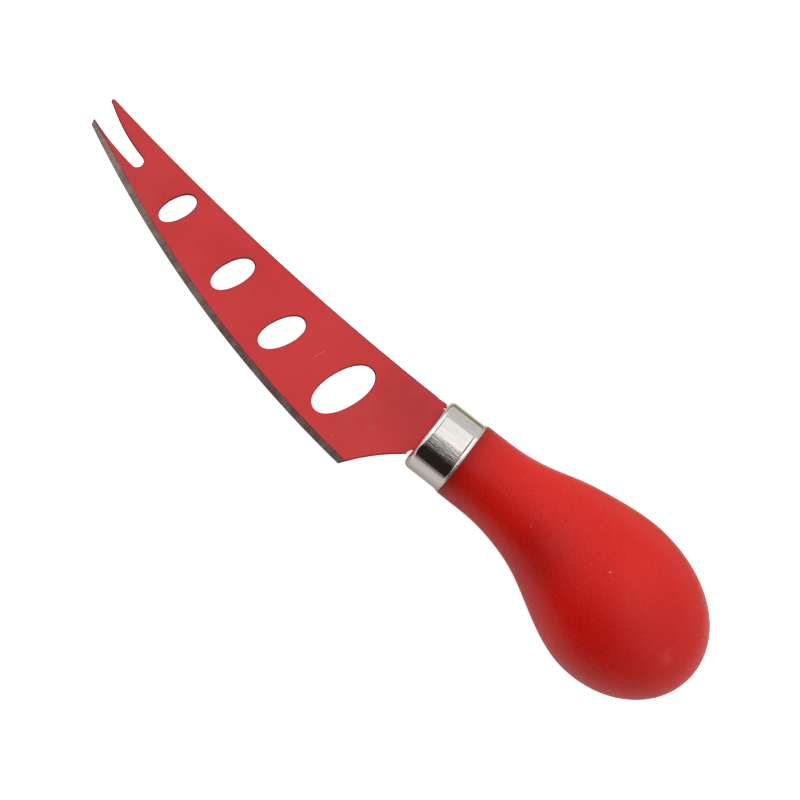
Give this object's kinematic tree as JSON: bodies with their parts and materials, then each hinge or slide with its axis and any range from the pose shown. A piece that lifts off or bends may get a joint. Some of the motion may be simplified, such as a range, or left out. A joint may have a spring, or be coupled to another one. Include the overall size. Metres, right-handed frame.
{
  "type": "cheese knife",
  "caption": "Cheese knife with a coated blade, oval windows and a forked tip, a metal ferrule and a soft pear-shaped handle.",
  "frame": {"origin": "under the middle of the knife's outline, at the height of the handle's underside, as the knife lies with its blade level", "axes": "+X along the knife to the forked tip, +Y to the cutting edge, +Z square to the blade's face"},
  "size_m": [0.2116, 0.0454, 0.038],
  "materials": {
    "blade_coating": "satin red coating on steel, bare ground steel along the edge",
    "ferrule_chrome": "polished",
    "core_plastic": "moulded",
    "soft_skin": "satin soft touch",
    "bond_resin": "set resin"
  },
  "bodies": {
    "root": {"blade": "blade_coating", "ferrule": "ferrule_chrome", "handle_core": "core_plastic", "handle_skin": "soft_skin", "tang_bond": "bond_resin"}
  },
  "joints": []
}
